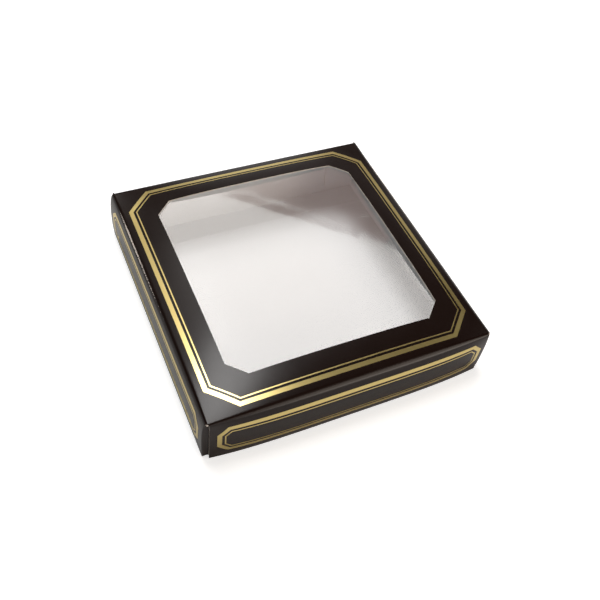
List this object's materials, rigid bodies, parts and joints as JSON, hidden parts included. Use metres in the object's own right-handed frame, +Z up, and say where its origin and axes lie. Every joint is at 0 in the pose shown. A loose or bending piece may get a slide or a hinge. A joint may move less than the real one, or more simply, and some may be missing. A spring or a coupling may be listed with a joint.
{
  "type": "candy box",
  "caption": "Square flat folding box of printed board, with a base tray and a hinged cover that has a clipped-corner clear window and drops over the tray with its skirts.",
  "frame": {"origin": "centre of the base tray's underside, at the level of the table", "axes": "+Z up, +Y towards the hinge at the back, +X to the right as seen from the front"},
  "size_m": [0.1472, 0.1518, 0.0326],
  "materials": {
    "printed_board": "very dark chocolate print under a gloss varnish, white board inside and at the cut edges",
    "plain_board": "white uncoated board inside, dark gloss print outside",
    "gold_foil": "stamped gold metallic foil",
    "clear_film": "clear polished film, slightly wavy"
  },
  "bodies": {
    "tray": {"bottom_panel": "plain_board", "front_wall": "printed_board", "back_wall": "printed_board", "left_wall": "printed_board", "right_wall": "printed_board", "front_left_tab": "plain_board", "front_right_tab": "plain_board", "back_left_tab": "plain_board", "back_right_tab": "plain_board", "back_wide_line": "gold_foil", "back_fine_line": "gold_foil"},
    "cover": {"lid_panel": "printed_board", "window_film": "clear_film", "front_skirt": "printed_board", "left_skirt": "printed_board", "right_skirt": "printed_board", "left_skirt_tab": "printed_board", "right_skirt_tab": "printed_board", "lid_wide_line": "gold_foil", "lid_fine_line": "gold_foil", "front_wide_line": "gold_foil", "front_fine_line": "gold_foil", "left_wide_line": "gold_foil", "left_fine_line": "gold_foil", "right_wide_line": "gold_foil", "right_fine_line": "gold_foil"}
  },
  "joints": [
    {"name": "lid_hinge", "type": "hinge", "parent": "tray", "child": "cover", "pos_m": [0, 0.076, 0.0286], "axis": [-1, 0, 0], "range_deg": [0, 175]}
  ]
}
